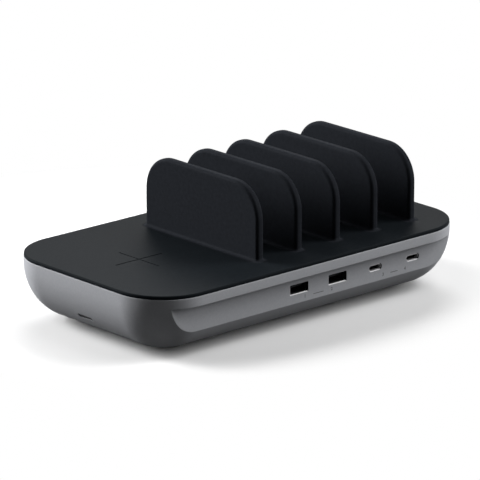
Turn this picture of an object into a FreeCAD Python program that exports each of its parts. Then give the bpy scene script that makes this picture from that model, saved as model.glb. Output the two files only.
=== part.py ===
import FreeCAD, Part
import math
import os

# Desk charging station with four device slots, a wireless charging area and four USB sockets.
# Millimetres. X runs along the front from left to right, the front panel faces -Y, Z is up,
# and the feet stand on Z = 0 below the middle of the case.

# Case: a moulded tub with a straight rim over an elliptic lower wall
case_length = 225.5
case_depth = 127.5
corner_radius = 30.0
floor_corner = 2.5
foot_stand = 1.5
bowl_height = 30.5
rim_height = 3.0
wall = 2.2
floor_thickness = 2.4
rim_chamfer = 0.4

# Flat front panel, set back below a band of the rim
panel_inset = 5.0
front_band = 5.4

# Line along the case on which the dividers, the cross and the status light are centred
axis_y = 1.2

# Top cover: the charging area lies left of the dividers, a plain border right of them
pad_length = 86.15
end_border = 23.95
cover_edge = 1.8
cover_thickness = 3.0
cover_reveal = 0.2
cover_edge_radius = 0.8
lip_thickness = 1.6
lip_fit = 0.2
lip_gap = 0.4
cross_length = 32.0
cross_width = 0.8
cross_depth = 0.3

# Dividers
divider_count = 5
divider_thickness = 5.0
divider_length = 90.1
divider_height = 40.7
divider_corner = 19.5
divider_edge_radius = 1.9
divider_foot_fillet = 1.5
flange_border = 0.8
flange_thickness = 0.9
flange_fit = 0.08
tab_length = 12.0
tab_thickness = 3.0
tab_fit = 0.1
stake_overlap = 1.2
stake_height = 1.2
tab_place_shares = (-0.36, 0.0, 0.36)

# Feet and the screws that hold the cover
foot_end_border = 9.25
foot_side_border = 6.25
foot_diameter = 12.0
foot_recess = 1.0
foot_fit = 0.15
foot_edge_radius = 0.5
tower_diameter = 8.0
tower_height = 16.5
head_seat_height = 8.5
case_screw_diameter = 3.0
case_screw_head = 5.6
case_screw_head_height = 2.2
case_screw_bite = 10.0
boss_diameter = 7.0
screw_fit = 0.2
thread_fit = 0.03
head_fit = 0.4
drive_diameter = 2.2
drive_depth = 1.2

# Sockets in the front panel
port_drop = 12.8
usb_a_cut_width = 13.0
usb_a_cut_height = 5.6
usb_a_cut_radius = 0.4
usb_a_width = 12.5
usb_a_height = 5.12
usb_a_radius = 0.5
usb_a_tongue_width = 11.1
usb_a_tongue_thickness = 1.84
usb_a_tongue_drop = 0.45
usb_a_contact_width = 1.0
usb_a_contact_length = 7.0
usb_a_contact_pitches = (-3.5, -1.0, 1.0, 3.5)
usb_c_cut_width = 9.4
usb_c_cut_height = 3.7
usb_c_width = 8.34
usb_c_height = 2.56
usb_c_tongue_width = 6.69
usb_c_tongue_thickness = 0.7
usb_c_contact_width = 0.25
usb_c_contact_length = 3.6
usb_c_contact_pitch = 0.5
usb_c_contact_count = 12
shell_wall = 0.3
socket_length = 12.0
socket_gap = 0.3
socket_fit = 0.05
socket_back = 3.0
tongue_setback = 0.9
contact_setback = 0.8
contact_thickness = 0.12

# Upright port board in its card guides
board_thickness = 1.6
board_fit = 0.1
port_board_border = 14.3
port_board_drop = 8.7
port_board_rise = 7.3
guide_grip = 1.5
guide_width = 5.5
guide_depth = 8.0

# Mains supply board and what it carries, each at its place from the middle of the board
board_lift = 5.1
power_board_length = 84.0
tower_clearance = 4.0
port_board_clearance = 10.65
inlet_clearance = 2.25
post_border = 4.5
post_diameter = 6.5
board_screw_diameter = 2.6
board_screw_length = 5.0
board_screw_head = 5.0
board_screw_head_height = 1.8
pilot_depth = 4.4
sheet_thickness = 0.4
sheet_border = 2.0
sheet_front_border = 4.0
sheet_rear_border = 0.25
sheet_hole_fit = 0.4
core_length = 28.0
core_depth = 26.0
core_height = 11.0
core_leg = 4.0
core_centre_leg = 8.0
winding_headroom = 4.5
winding_wall = 5.4
winding_fit = 0.2
transformer_place = (-19.0, 6.0)
capacitor_diameter = 12.5
capacitor_headroom = 4.0
capacitor_places = ((3.0, 2.0), (3.0, 16.0))
choke_outer = 14.0
choke_inner = 7.0
choke_height = 9.0
choke_place = (27.0, -3.0)
safety_cap_length = 14.0
safety_cap_depth = 7.5
safety_cap_height = 14.0
safety_cap_place = (17.0, 15.5)
fuse_diameter = 8.5
fuse_height = 8.0
fuse_place = (29.5, 17.5)
rectifier_length = 15.0
rectifier_depth = 4.0
rectifier_height = 11.0
rectifier_place = (18.5, 7.0)
sink_length = 40.0
sink_base = 3.0
sink_headroom = 4.0
sink_fin_depth = 8.0
sink_fin = 1.6
sink_fin_count = 6
sink_place = (-2.0, -10.0)

# Mains inlet in a flat pocket at the back
inlet_offset = 19.0
pocket_width = 36.0
pocket_radius = 4.0
inlet_flange_width = 25.0
inlet_flange_height = 13.0
inlet_flange_thickness = 1.5
inlet_flange_radius = 3.0
inlet_width = 21.0
inlet_height = 10.6
inlet_radius = 2.0
inlet_depth = 14.5
inlet_fit = 0.15
inlet_lobe_diameter = 8.2
inlet_lobe_spacing = 7.8
inlet_waist = 6.6
inlet_cavity_depth = 11.0
inlet_lug = 1.0
inlet_lug_length = 3.0
inlet_lug_height = 5.0
pin_diameter = 2.4
pin_spacing = 8.6
pin_setback = 1.5
pin_tail = 2.0

# Wireless charging coil below the cover
coil_wire = 1.0
coil_pitch = 1.5
coil_inner_radius = 8.0
coil_gap = 0.1
coil_cover_skin = 1.9
coil_pocket_border = 3.0
ferrite_border = 0.6
ferrite_radius = 3.0
ferrite_thickness = 1.5
lead_slot = 4.0
carrier_border = 1.8
carrier_base = 1.5
carrier_fit = 0.2
carrier_clearance = 0.8
ear_overhang = 3.0
ear_width = 7.0
ear_boss_diameter = 5.0
ear_screw_diameter = 2.2
ear_screw_head = 4.2
ear_screw_head_height = 1.6
ear_screw_bite = 2.2

# Driver board of the coil
coil_board_border = 7.0
coil_board_spacing = 5.0
coil_board_clearance = 8.0

# Status light in the left end
light_rise = 11.3
light_length = 11.6
light_height = 2.2
light_fit = 0.1
light_recess = 0.6
light_back_inset = 14.25
light_post_insets = (10.75, 18.75)
light_post_width = 22.0
light_post_rise = 6.0
status_board_inset = 15.75
status_board_width = 16.0
status_board_drop = 6.0
status_board_rise = 5.0
led_length = 3.2
led_height = 1.6
led_depth = 1.2

# Internal wiring
mains_lead = 2.2
mains_lead_border = 3.5
output_lead = 1.8
output_lead_border = 2.5
output_lead_offsets = (-6.0, -2.0)
output_lead_rise = 7.5
pad_lead = 1.8
pad_lead_side = 2.5
pad_lead_rise = 6.5
pad_lead_start = 2.8
pad_lead_end = 12.0
coil_lead = 1.0
status_lead = 1.2
status_lead_side = 2.0
status_lead_rise = 4.4
status_lead_border = 9.5
lead_clearance = 0.8
bend_share = 0.45

# Cuts run past the faces that they open by this much
overrun = 1.0
# Edges are matched to a level within this distance
match = 0.001

# Levels and places that follow from the sizes above
left_end = -case_length / 2
bowl_inset = corner_radius - floor_corner
seam_z = foot_stand + bowl_height + rim_height
cover_top = seam_z + cover_edge
cover_under = cover_top - cover_thickness
floor_top = foot_stand + floor_thickness
step_z = seam_z - front_band
lip_low = step_z + wall + lip_gap
panel_y = panel_inset - case_depth / 2
port_z = seam_z - port_drop
tower_top = foot_stand + tower_height
head_seat = foot_stand + head_seat_height
board_low = floor_top + board_lift
board_top = board_low + board_thickness
component_room = cover_under - stake_height - board_top
first_divider_x = left_end + pad_length + divider_thickness / 2
last_divider_x = case_length / 2 - end_border - divider_thickness / 2
divider_pitch = (last_divider_x - first_divider_x) / (divider_count - 1)
divider_places = [first_divider_x + divider_pitch * step for step in range(divider_count)]
port_places = [(left + right) / 2 for left, right in zip(divider_places, divider_places[1:])]
usb_a_places = port_places[:2]
usb_c_places = port_places[2:]
socket_front = panel_y + wall + socket_gap
port_board_front = socket_front + socket_length
port_board_back = port_board_front + board_thickness
port_board_xs = (port_places[0] - port_board_border, port_places[-1] + port_board_border)
port_board_zs = (port_z - port_board_drop, port_z + port_board_rise)
pocket_y = case_depth / 2 - panel_inset
inlet_back = pocket_y - inlet_depth
inlet_front = pocket_y + inlet_flange_thickness
pin_ys = (inlet_back - pin_tail, inlet_front - pin_setback)
foot_x = case_length / 2 - bowl_inset - foot_end_border
foot_y = case_depth / 2 - bowl_inset - foot_side_border
power_board_ys = (port_board_back + port_board_clearance, pin_ys[0] - inlet_clearance)
power_board_depth = power_board_ys[1] - power_board_ys[0]
power_board_y = sum(power_board_ys) / 2
power_board_right = foot_x - tower_diameter / 2 - tower_clearance
power_board_left = power_board_right - power_board_length
power_board_x = (power_board_left + power_board_right) / 2
inlet_x = power_board_x + inlet_offset
pin_places = (inlet_x - pin_spacing / 2, inlet_x + pin_spacing / 2)
winding_height = component_room - winding_headroom
light_z = foot_stand + light_rise
status_board_x = left_end + status_board_inset
light_post_xs = [left_end + inset for inset in light_post_insets]
coil_board_xs = (light_post_xs[1] + coil_board_border, power_board_left - coil_board_spacing)
coil_board_length = coil_board_xs[1] - coil_board_xs[0]
coil_board_x = sum(coil_board_xs) / 2
coil_board_depth = 2 * (foot_y - tower_diameter / 2 - coil_board_clearance)
status_lead_z = board_top + status_lead_rise
coil_x = left_end + pad_length / 2
carrier_room_y = foot_y - axis_y - boss_diameter / 2
carrier_room_x = pad_length / 2 - wall - lip_fit - lip_thickness - ear_width / 2 - ear_overhang
carrier_side = 2 * (min(carrier_room_x, carrier_room_y) - carrier_clearance)
ferrite_side = carrier_side - 2 * (carrier_fit + carrier_border)
coil_turns = int((ferrite_side / 2 - ferrite_border - coil_inner_radius) / coil_pitch)
coil_end_x = coil_x + coil_inner_radius + coil_pitch * coil_turns
ear_reach = carrier_side / 2 + ear_overhang
coil_ceiling = cover_top - coil_cover_skin
coil_z = coil_ceiling - coil_gap - coil_wire / 2
ferrite_top = coil_z - coil_wire / 2
carrier_low = ferrite_top - ferrite_thickness - carrier_base
flare = divider_foot_fillet + flange_border
pilot_diameter = case_screw_diameter + 2 * thread_fit
foot_places = {
    "foot_front_left": (-foot_x, -foot_y),
    "foot_front_right": (foot_x, -foot_y),
    "foot_rear_left": (-foot_x, foot_y),
    "foot_rear_right": (foot_x, foot_y),
}

# A quarter ellipse is exact with this weight on its middle pole
ELLIPSE_WEIGHT = math.sqrt(0.5)
ORIGIN = FreeCAD.Vector(0, 0, 0)
ALONG_X = FreeCAD.Vector(1, 0, 0)
UP = FreeCAD.Vector(0, 0, 1)
DIAGONAL = FreeCAD.Vector(1, 1, 1)


def at(x, y, z):
    return FreeCAD.Vector(x, y, z)


def box(xs, ys, zs):
    return Part.makeBox(xs[1] - xs[0], ys[1] - ys[0], zs[1] - zs[0], at(xs[0], ys[0], zs[0]))


def rod(x, y, zs, diameter):
    return Part.makeCylinder(diameter / 2, zs[1] - zs[0], at(x, y, zs[0]))


def about(middle, width):
    """Span of a width centred on a place."""
    return (middle - width / 2, middle + width / 2)


def merge(first, others):
    return first.multiFuse(others).removeSplitter()


def polar(radius, degrees):
    angle = math.radians(degrees)
    return at(radius * math.cos(angle), radius * math.sin(angle), 0)


def rounded_face(width, height, radius):
    """Rectangle with round corners about the origin of the XY plane."""
    dx = width / 2 - radius
    dy = height / 2 - radius
    centres = [at(dx, dy, 0), at(-dx, dy, 0), at(-dx, -dy, 0), at(dx, -dy, 0)]
    edges = []
    for quarter, centre in enumerate(centres):
        start, middle, end = [centre + polar(radius, 90 * quarter + turn) for turn in (0, 45, 90)]
        edges.append(Part.Arc(start, middle, end).toShape())
        following = centres[(quarter + 1) % 4] + polar(radius, 90 * (quarter + 1))
        if end.distanceToPoint(following) > match:
            edges.append(Part.LineSegment(end, following).toShape())
    return Part.Face(Part.Wire(edges))


def slab(length, depth, radius, zs, centre=(0, 0)):
    """Upright prism with a rounded rectangular plan."""
    face = rounded_face(length, depth, radius)
    face.translate(at(centre[0], centre[1], zs[0]))
    return face.extrude(at(0, 0, zs[1] - zs[0]))


def prism_y(width, height, radius, ys, centre):
    """Prism along Y with a rounded section about centre = (x, z)."""
    face = rounded_face(width, height, radius)
    face.rotate(ORIGIN, ALONG_X, 90)
    face.translate(at(centre[0], ys[0], centre[1]))
    return face.extrude(at(0, ys[1] - ys[0], 0))


def prism_x(width, height, radius, xs, centre):
    """Prism along X with a rounded section about centre = (y, z)."""
    face = rounded_face(width, height, radius)
    face.rotate(ORIGIN, DIAGONAL, 120)
    face.translate(at(xs[0], centre[0], centre[1]))
    return face.extrude(at(xs[1] - xs[0], 0, 0))


def wall_profile(radius, inset, height, low, top):
    """Half section of a bowl from a corner's axis out to its wall, in the XZ plane."""
    curve = Part.BezierCurve()
    curve.setPoles([at(radius - inset, 0, low), at(radius, 0, low), at(radius, 0, low + height)])
    curve.setWeight(2, ELLIPSE_WEIGHT)
    corners = [at(radius, 0, low + height), at(radius, 0, top), at(0, 0, top)]
    corners += [at(0, 0, low), at(radius - inset, 0, low)]
    edges = [Part.LineSegment(a, b).toShape() for a, b in zip(corners, corners[1:])]
    return Part.Face(Part.Wire([curve.toShape()] + edges))


def carried_round(dx, dy, profile, zs):
    """Solid whose half section is carried round a rectangle's sides and turned at its corners."""
    corner = profile.revolve(ORIGIN, UP, 90)
    pieces = []
    for quarter in range(4):
        out, along = (dx, dy) if quarter % 2 == 0 else (dy, dx)
        turned = corner.copy()
        turned.translate(at(out, along, 0))
        turned.rotate(ORIGIN, UP, 90 * quarter)
        section = profile.copy()
        section.translate(at(out, -along, 0))
        side = section.extrude(at(0, 2 * along, 0))
        side.rotate(ORIGIN, UP, 90 * quarter)
        pieces += [turned, side]
    return merge(box((-dx, dx), (-dy, dy), zs), pieces)


def bowl(length, depth, radius, inset, height, low, top):
    """Solid with a straight rim, an elliptic lower wall and rounded plan corners."""
    profile = wall_profile(radius, inset, height, low, top)
    return carried_round(length / 2 - radius, depth / 2 - radius, profile, (low, top))


def case_form(side, bottom, top):
    """Form of the case drawn in by side at its walls and raised by bottom at its floor."""
    length = case_length - 2 * side
    depth = case_depth - 2 * side
    height = bowl_height - bottom
    return bowl(length, depth, corner_radius - side, bowl_inset - side, height, foot_stand + bottom, top)


def corners_of(x, y, length, depth, border):
    """The four fixing places of a board."""
    dx = length / 2 - border
    dy = depth / 2 - border
    return [(x + sx * dx, y + sy * dy) for sx in (-1, 1) for sy in (-1, 1)]


power_posts = corners_of(power_board_x, power_board_y, power_board_length, power_board_depth, post_border)
coil_posts = corners_of(coil_board_x, 0, coil_board_length, coil_board_depth, post_border)
ear_places = [(coil_x - ear_reach, axis_y), (coil_x + ear_reach, axis_y)]


def case_shell():
    """The tub without its inner posts: outer form, cavity, front panel and rear pocket."""
    ends = about(0, case_length + 2 * overrun)
    front = -case_depth / 2 - overrun
    back = case_depth / 2 + overrun
    below = foot_stand - overrun
    pocket_height = 2 * (step_z - port_z)
    spot = (inlet_x, port_z)
    outer = case_form(0, 0, seam_z)
    rim = [e for e in outer.Edges if abs(e.BoundBox.ZMin - seam_z) < match]
    outer = outer.makeChamfer(rim_chamfer, rim)
    outer = outer.cut(box(ends, (front, panel_y), (below, step_z)))
    outer = outer.cut(prism_y(pocket_width, pocket_height, pocket_radius, (pocket_y, back), spot))
    cavity = case_form(wall, floor_thickness, seam_z + overrun)
    cavity = cavity.cut(box(ends, (front, panel_y + wall), (below, step_z + wall)))
    thick = 2 * wall
    keep_size = (pocket_width + thick, pocket_height + thick, pocket_radius + wall)
    keep = prism_y(*keep_size, (pocket_y - wall, back), spot)
    return outer, outer.cut(cavity.cut(keep))


def case_posts():
    """Screw towers, board posts, card guides and light holder that rise from the floor."""
    low = foot_stand + floor_thickness / 2
    posts = [rod(x, y, (low, tower_top), tower_diameter) for x, y in foot_places.values()]
    posts += [rod(x, y, (low, board_low), post_diameter) for x, y in power_posts + coil_posts]
    guide_ys = about((port_board_front + port_board_back) / 2, guide_depth)
    for edge, inward in zip(port_board_xs, (1, -1)):
        span = sorted((edge + inward * guide_grip, edge + inward * (guide_grip - guide_width)))
        posts.append(box(span, guide_ys, (foot_stand, port_board_zs[1])))
    posts.append(box(light_post_xs, about(axis_y, light_post_width), (foot_stand, light_z + light_post_rise)))
    return posts


def case_holes():
    """What is cut from the finished tub: sockets, light slot, inlet, screw holes and board grooves."""
    panel_ys = (panel_y - overrun, panel_y + wall + overrun)
    holes = []
    for x in usb_a_places:
        holes.append(prism_y(usb_a_cut_width, usb_a_cut_height, usb_a_cut_radius, panel_ys, (x, port_z)))
    for x in usb_c_places:
        holes.append(prism_y(usb_c_cut_width, usb_c_cut_height, usb_c_cut_height / 2, panel_ys, (x, port_z)))
    light_xs = (left_end - overrun, status_board_x)
    holes.append(prism_x(light_length, light_height, light_height / 2, light_xs, (axis_y, light_z)))
    status_xs = (status_board_x - board_fit, status_board_x + board_thickness + board_fit)
    status_zs = (light_z - status_board_drop - board_fit, light_z + light_post_rise + overrun)
    holes.append(box(status_xs, about(axis_y, status_board_width + 2 * board_fit), status_zs))
    window_xs = (status_board_x, light_post_xs[1] + overrun)
    window_ys = about(axis_y, 2 * (status_lead_side + lead_clearance) + status_lead)
    window_low = status_lead_z - status_lead / 2 - lead_clearance
    holes.append(box(window_xs, window_ys, (window_low, status_zs[1])))
    inlet_ys = (pocket_y - wall - overrun, pocket_y + overrun)
    fit = 2 * inlet_fit
    cut = prism_y(inlet_width + fit, inlet_height + fit, inlet_radius + inlet_fit, inlet_ys, (inlet_x, port_z))
    holes.append(cut)
    groove_ys = (port_board_front - board_fit, port_board_back + board_fit)
    groove_xs = (port_board_xs[0] - board_fit, port_board_xs[1] + board_fit)
    holes.append(box(groove_xs, groove_ys, (port_board_zs[0] - board_fit, port_board_zs[1] + overrun)))
    below = foot_stand - overrun
    for x, y in foot_places.values():
        holes.append(rod(x, y, (below, foot_stand + foot_recess), foot_diameter + 2 * foot_fit))
        holes.append(rod(x, y, (below, head_seat), case_screw_head + 2 * head_fit))
        holes.append(rod(x, y, (below, tower_top + overrun), case_screw_diameter + 2 * screw_fit))
    for x, y in power_posts + coil_posts:
        pilot = board_screw_diameter + 2 * thread_fit
        holes.append(rod(x, y, (board_low - pilot_depth, board_low + overrun), pilot))
    return holes


def lower_case():
    outer, tub = case_shell()
    posts = case_posts()
    inside = posts[0].multiFuse(posts[1:]).common(outer)
    return tub.fuse(inside).cut(case_holes()).removeSplitter()


def cover_plate():
    """Flush plate with a rounded top edge, its thicker middle and the locating lip."""
    reveal = 2 * cover_reveal
    plan = (case_length - reveal, case_depth - reveal, corner_radius - cover_reveal)
    plate = slab(*plan, (seam_z, cover_top))
    rim = [e for e in plate.Edges if e.BoundBox.ZMin > cover_top - match]
    plate = plate.makeFillet(cover_edge_radius, rim)
    inward = wall + lip_fit
    plan = (case_length - 2 * inward, case_depth - 2 * inward, corner_radius - inward)
    middle = slab(*plan, (cover_under, seam_z))
    ring = slab(*plan, (lip_low, cover_under))
    inward = wall + lip_fit + lip_thickness
    plan = (case_length - 2 * inward, case_depth - 2 * inward, corner_radius - inward)
    ring = ring.cut(slab(*plan, (lip_low - overrun, cover_under + overrun)))
    ring = ring.common(box(about(0, case_length), about(0, case_depth), (lip_low, cover_under)))
    return plate, [middle, ring]


def cover_bosses():
    bosses = [rod(x, y, (tower_top, cover_under), boss_diameter) for x, y in foot_places.values()]
    ear_zs = (carrier_low + carrier_base, cover_under)
    return bosses + [rod(x, y, ear_zs, ear_boss_diameter) for x, y in ear_places]


def cover_cuts():
    """Divider seats and slots, the cross, the coil pocket and the screw pilots."""
    fit = 2 * flange_fit
    width = divider_thickness + 2 * flare + fit
    length = divider_length + 2 * flare + fit
    radius = divider_edge_radius + flare + flange_fit
    seat_zs = (cover_top - flange_thickness, cover_top + overrun)
    slot_zs = (cover_under - overrun, cover_top)
    cuts = []
    for x in divider_places:
        cuts.append(slab(width, length, radius, seat_zs, (x, axis_y)))
        for share in tab_place_shares:
            spans = about(x, tab_thickness + 2 * tab_fit), about(tab_y(share), tab_length + 2 * tab_fit)
            cuts.append(box(*spans, slot_zs))
    groove_zs = (cover_top - cross_depth, cover_top + overrun)
    cuts.append(box(about(coil_x, cross_length), about(axis_y, cross_width), groove_zs))
    cuts.append(box(about(coil_x, cross_width), about(axis_y, cross_length), groove_zs))
    pocket = 2 * (coil_end_x - coil_x + coil_pocket_border)
    cuts.append(rod(coil_x, axis_y, (cover_under - overrun, coil_ceiling), pocket))
    for x, y in foot_places.values():
        cuts.append(rod(x, y, (tower_top - overrun, tower_top + case_screw_bite + overrun), pilot_diameter))
    for x, y in ear_places:
        pilot_zs = (carrier_low, carrier_low + carrier_base + ear_screw_bite)
        cuts.append(rod(x, y, pilot_zs, ear_screw_diameter + 2 * thread_fit))
    return cuts


def top_cover():
    plate, inner = cover_plate()
    return plate.multiFuse(inner + cover_bosses()).cut(cover_cuts()).removeSplitter()


def tab_y(share):
    return axis_y + share * divider_length


def divider_blade():
    """Upright blade about x = 0 with large top corners and rounded edges."""
    front, back = about(axis_y, divider_length)
    low = cover_top - flange_thickness
    top = cover_top + divider_height
    lean = divider_corner * (1 - math.sqrt(0.5))
    shoulder = top - divider_corner
    x = -divider_thickness / 2
    front_points = [(front, shoulder), (front + lean, top - lean), (front + divider_corner, top)]
    back_points = [(back - divider_corner, top), (back - lean, top - lean), (back, shoulder)]
    front_arc = Part.Arc(*[at(x, y, z) for y, z in front_points])
    back_arc = Part.Arc(*[at(x, y, z) for y, z in back_points])
    lines = [(at(x, front, low), at(x, front, shoulder)), (front_arc.EndPoint, back_arc.StartPoint)]
    lines += [(at(x, back, shoulder), at(x, back, low)), (at(x, back, low), at(x, front, low))]
    edges = [Part.LineSegment(a, b).toShape() for a, b in lines]
    edges += [front_arc.toShape(), back_arc.toShape()]
    blade = Part.Face(Part.Wire(Part.__sortEdges__(edges))).extrude(at(divider_thickness, 0, 0))
    faces = [e for e in blade.Edges if e.BoundBox.XLength < match and e.BoundBox.ZMax > low + match]
    return blade.makeFillet(divider_edge_radius, faces)


def divider_foot():
    """Flush flange that runs up into the blade with a hollow fillet all round."""
    low = cover_top - flange_thickness
    high = cover_top + divider_foot_fillet
    inner = divider_edge_radius
    outer = inner + divider_foot_fillet
    lean = divider_foot_fillet * (1 - math.sqrt(0.5))
    hollow = Part.Arc(at(inner, 0, high), at(inner + lean, 0, cover_top + lean), at(outer, 0, cover_top))
    corners = [at(outer, 0, cover_top), at(inner + flare, 0, cover_top), at(inner + flare, 0, low)]
    corners += [at(0, 0, low), at(0, 0, high), at(inner, 0, high)]
    edges = [Part.LineSegment(a, b).toShape() for a, b in zip(corners, corners[1:])]
    profile = Part.Face(Part.Wire([hollow.toShape()] + edges))
    foot = carried_round(divider_thickness / 2 - inner, divider_length / 2 - inner, profile, (low, high))
    foot.translate(at(0, axis_y, 0))
    return foot


def divider():
    """Blade on its foot, with three staked tabs below."""
    low = cover_top - flange_thickness
    body = merge(divider_blade(), [divider_foot()])
    tabs = []
    for share in tab_place_shares:
        y = tab_y(share)
        tabs.append(box(about(0, tab_thickness), about(y, tab_length), (cover_under - stake_height, low)))
        head = about(0, tab_thickness + 2 * stake_overlap), about(y, tab_length + 2 * stake_overlap)
        tabs.append(box(*head, (cover_under - stake_height, cover_under)))
    return merge(body, tabs)


def rubber_foot(x, y):
    foot = rod(x, y, (0, foot_stand + foot_recess), foot_diameter)
    edge = [e for e in foot.Edges if e.BoundBox.ZMax < match]
    return foot.makeFillet(foot_edge_radius, edge)


def screw(x, y, seat, into, shank, head, head_height):
    """Screw driven along Z: head on its seat, shank running up (into > seat) or down."""
    way = 1 if into > seat else -1
    head_zs = sorted((seat - way * head_height, seat))
    shank_zs = sorted((seat, into))
    drive_zs = sorted((seat - way * head_height, seat - way * (head_height - drive_depth)))
    body = merge(rod(x, y, head_zs, head), [rod(x, y, shank_zs, shank)])
    return body.cut(rod(x, y, drive_zs, drive_diameter))


def case_screws():
    into = tower_top + case_screw_bite
    sizes = (case_screw_diameter, case_screw_head, case_screw_head_height)
    return [screw(x, y, head_seat, into, *sizes) for x, y in foot_places.values()]


def board_screws(places):
    into = board_top - board_screw_length
    sizes = (board_screw_diameter, board_screw_head, board_screw_head_height)
    return [screw(x, y, board_top, into, *sizes) for x, y in places]


def coil_screws():
    into = carrier_low + carrier_base + ear_screw_bite
    sizes = (ear_screw_diameter, ear_screw_head, ear_screw_head_height)
    return [screw(x, y, carrier_low, into, *sizes) for x, y in ear_places]


def socket_shell(x, width, height, radius):
    """Folded metal tube of a socket, from behind the panel to its board."""
    thick = 2 * shell_wall
    ys = (socket_front, port_board_front)
    tube = prism_y(width + thick, height + thick, radius + shell_wall, ys, (x, port_z))
    bore_ys = (socket_front - overrun, port_board_front + overrun)
    return tube.cut(prism_y(width, height, radius, bore_ys, (x, port_z)))


def socket_insulator(x, width, height, radius, tongue_width, tongue_zs):
    """Plastic plug in the back of the shell that carries the contact tongue."""
    fit = 2 * socket_fit
    ys = (port_board_front - socket_back, port_board_front)
    back = prism_y(width - fit, height - fit, radius - socket_fit, ys, (x, port_z))
    tongue = box(about(x, tongue_width), (socket_front + tongue_setback, ys[0]), tongue_zs)
    return merge(back, [tongue])


usb_a_tongue_top = port_z + usb_a_height / 2 - usb_a_tongue_drop
usb_a_tongue_zs = (usb_a_tongue_top - usb_a_tongue_thickness, usb_a_tongue_top)
usb_c_tongue_zs = about(port_z, usb_c_tongue_thickness)
contact_start = socket_front + tongue_setback + contact_setback


def usb_a_contacts(x):
    """Four strips on the underside of the tongue."""
    ys = (contact_start, contact_start + usb_a_contact_length)
    zs = (usb_a_tongue_zs[0] - contact_thickness, usb_a_tongue_zs[0])
    return [box(about(x + place, usb_a_contact_width), ys, zs) for place in usb_a_contact_pitches]


def usb_c_contacts(x):
    """A row of strips on each side of the tongue."""
    ys = (contact_start, contact_start + usb_c_contact_length)
    low, high = usb_c_tongue_zs
    first = x - usb_c_contact_pitch * (usb_c_contact_count - 1) / 2
    strips = []
    for zs in ((low - contact_thickness, low), (high, high + contact_thickness)):
        for step in range(usb_c_contact_count):
            strips.append(box(about(first + step * usb_c_contact_pitch, usb_c_contact_width), ys, zs))
    return strips


def port_board():
    return box(port_board_xs, (port_board_front, port_board_back), port_board_zs)


def board_plate(x, y, length, depth, places):
    plate = box(about(x, length), about(y, depth), (board_low, board_top))
    zs = (board_low - overrun, board_top + overrun)
    return plate.cut([rod(px, py, zs, board_screw_diameter + 2 * screw_fit) for px, py in places])


def insulation_sheet():
    """Plain sheet on the flat of the floor below the supply board."""
    zs = (floor_top, floor_top + sheet_thickness)
    ys = (power_board_ys[0] + sheet_front_border, case_depth / 2 - bowl_inset - sheet_rear_border)
    sheet = box(about(power_board_x, power_board_length - 2 * sheet_border), ys, zs)
    hole_zs = (floor_top - overrun, floor_top + sheet_thickness + overrun)
    return sheet.cut([rod(x, y, hole_zs, post_diameter + 2 * sheet_hole_fit) for x, y in power_posts])


def on_board(place):
    return power_board_x + place[0], power_board_y + place[1]


def transformer_window():
    """Width and depth of each of the two windows of the core."""
    return (core_length - core_centre_leg) / 2 - core_leg, core_depth - 2 * core_leg


def transformer_core():
    """Ferrite frame with a middle leg along Y."""
    width, depth = transformer_window()
    x, y = on_board(transformer_place)
    zs = about(board_top + winding_height / 2, core_height)
    core = box(about(x, core_length), about(y, core_depth), zs)
    window_zs = (zs[0] - overrun, zs[1] + overrun)
    for middle in about(x, core_centre_leg + width):
        core = core.cut(box(about(middle, width), about(y, depth), window_zs))
    return core


def transformer_winding():
    """Taped winding on its bobbin round the middle leg."""
    depth = transformer_window()[1] - 2 * winding_fit
    width = core_centre_leg + 2 * winding_wall
    x, y = on_board(transformer_place)
    ys = about(y, depth)
    block = box(about(x, width), ys, (board_top, board_top + winding_height))
    hole_zs = about(board_top + winding_height / 2, core_height + 2 * winding_fit)
    hole_ys = (ys[0] - overrun, ys[1] + overrun)
    return block.cut(box(about(x, core_centre_leg + 2 * winding_fit), hole_ys, hole_zs))


def bulk_capacitors():
    zs = (board_top, board_top + component_room - capacitor_headroom)
    return [rod(*on_board(place), zs, capacitor_diameter) for place in capacitor_places]


def input_choke():
    zs = (board_top, board_top + choke_height)
    spot = on_board(choke_place)
    return rod(*spot, zs, choke_outer).cut(rod(*spot, (zs[0] - overrun, zs[1] + overrun), choke_inner))


def safety_capacitor():
    x, y = on_board(safety_cap_place)
    zs = (board_top, board_top + safety_cap_height)
    return box(about(x, safety_cap_length), about(y, safety_cap_depth), zs)


def bridge_rectifier():
    x, y = on_board(rectifier_place)
    zs = (board_top, board_top + rectifier_height)
    return box(about(x, rectifier_length), about(y, rectifier_depth), zs)


def heat_sink():
    """Upright plate with fins towards the front."""
    x, y = on_board(sink_place)
    xs = about(x, sink_length)
    zs = (board_top, board_top + component_room - sink_headroom)
    plate = box(xs, (y - sink_base, y), zs)
    step = (sink_length - sink_fin) / (sink_fin_count - 1)
    fin_ys = (y - sink_base - sink_fin_depth, y - sink_base)
    starts = [xs[0] + step * number for number in range(sink_fin_count)]
    return merge(plate, [box((start, start + sink_fin), fin_ys, zs) for start in starts])


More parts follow.
